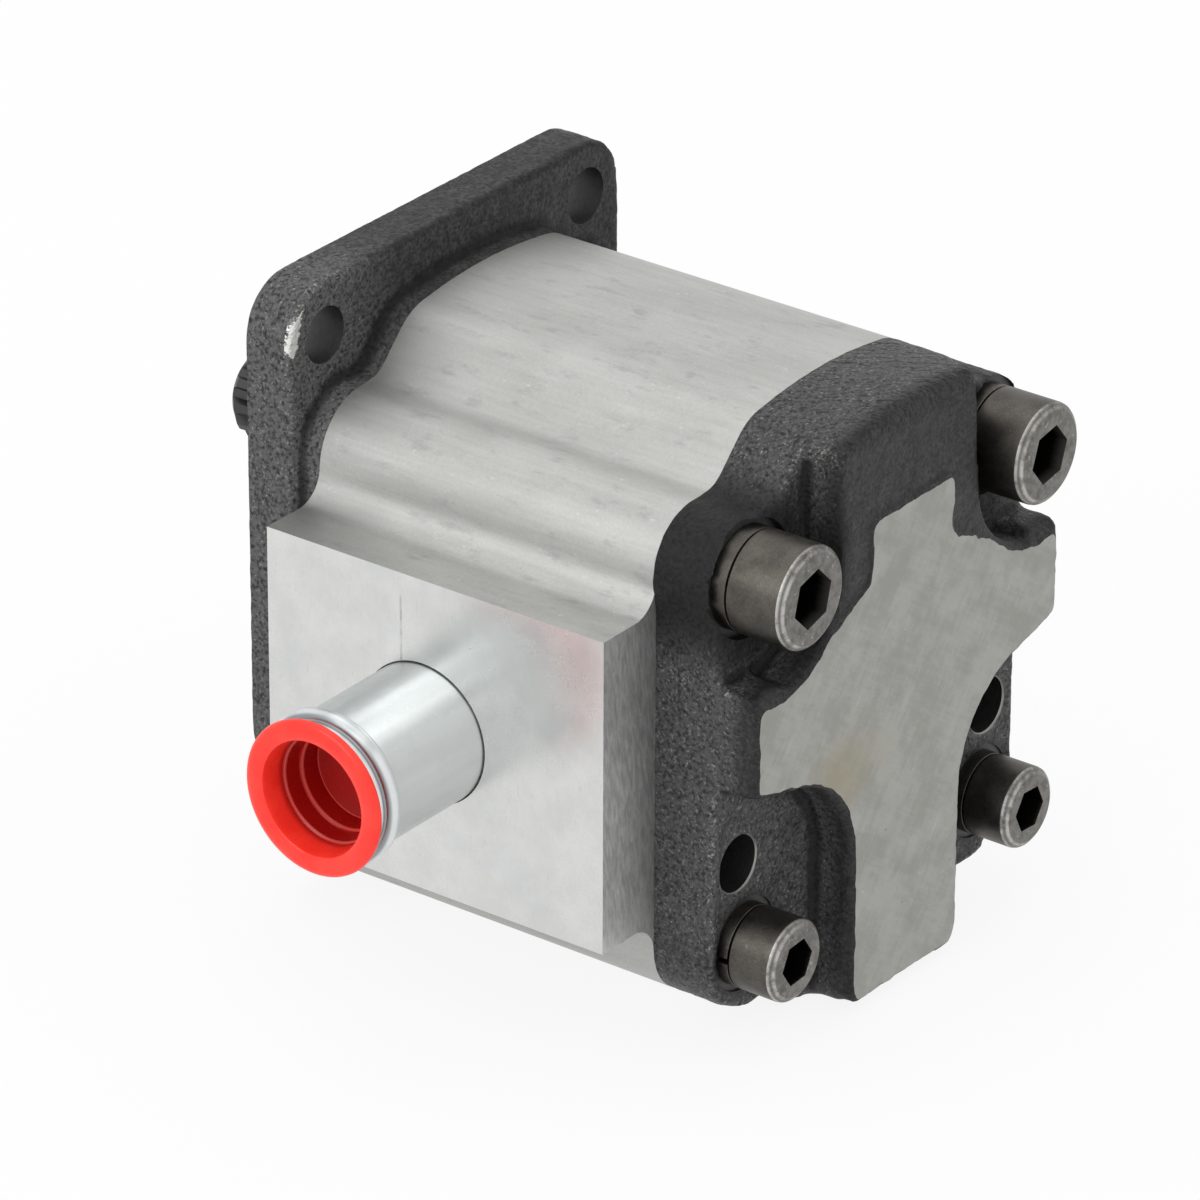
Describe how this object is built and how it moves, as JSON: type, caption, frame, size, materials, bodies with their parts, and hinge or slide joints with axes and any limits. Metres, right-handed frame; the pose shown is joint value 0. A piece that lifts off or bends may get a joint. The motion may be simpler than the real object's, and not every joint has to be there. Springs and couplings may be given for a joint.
{
  "type": "external gear pump",
  "caption": "External gear pump with a square mounting flange, extruded body, screwed rear cover, splined shaft end and plugged suction stub.",
  "frame": {"origin": "centre of the mounting face, on the axis of the drive shaft", "axes": "+Y out of the mounting face along the drive shaft, +Z from the driven shaft up to the drive shaft, the suction port faces -X"},
  "size_m": [0.1284, 0.1272, 0.1033],
  "materials": {
    "cast_iron": "sand cast, machined where it fits",
    "aluminium": "extruded, satin",
    "bearing_alloy": "machined",
    "steel": "ground",
    "spring_steel": "phosphated",
    "blacked_steel": "blacked",
    "zinc_plate": "bright zinc plated",
    "bronze": "bearing bronze",
    "rubber": "moulded",
    "nylon": "moulded",
    "red_plastic": "moulded, glossy"
  },
  "bodies": {
    "housing": {"mounting_flange": "cast_iron", "rear_cover": "cast_iron", "pump_body": "aluminium", "front_bearing_block": "bearing_alloy", "rear_bearing_block": "bearing_alloy", "front_bushes": "bronze", "rear_bushes": "bronze", "front_body_seal": "rubber", "rear_body_seal": "rubber", "front_pressure_seal": "rubber", "rear_pressure_seal": "rubber", "front_backup_strips": "nylon", "rear_backup_strips": "nylon", "shaft_seal": "rubber", "seal_spring": "steel", "shaft_seal_circlip": "spring_steel", "front_dowels": "steel", "rear_dowels": "steel", "upper_cap_screws": "blacked_steel", "lower_cap_screws": "blacked_steel", "upper_lock_washers": "blacked_steel", "lower_lock_washers": "blacked_steel", "suction_tube": "zinc_plate"},
    "drive_shaft": {"drive_gear_shaft": "steel"},
    "driven_shaft": {"driven_gear_shaft": "steel"},
    "plug": {"suction_plug": "red_plastic"}
  },
  "joints": [
    {"name": "drive_spin", "type": "hinge", "parent": "housing", "child": "drive_shaft", "pos_m": [0, 0, 0], "axis": [0, 1, 0], "continuous": true},
    {"name": "driven_spin", "type": "hinge", "parent": "housing", "child": "driven_shaft", "pos_m": [0, 0, -0.033], "axis": [0, 1, 0], "continuous": true},
    {"name": "plug_pull", "type": "slide", "parent": "housing", "child": "plug", "axis": [-1, 0, 0], "range_m": [0, 0.03]}
  ],
  "couplings": [
    {"joint": "driven_spin", "follows": "drive_spin", "ratio": -1}
  ]
}
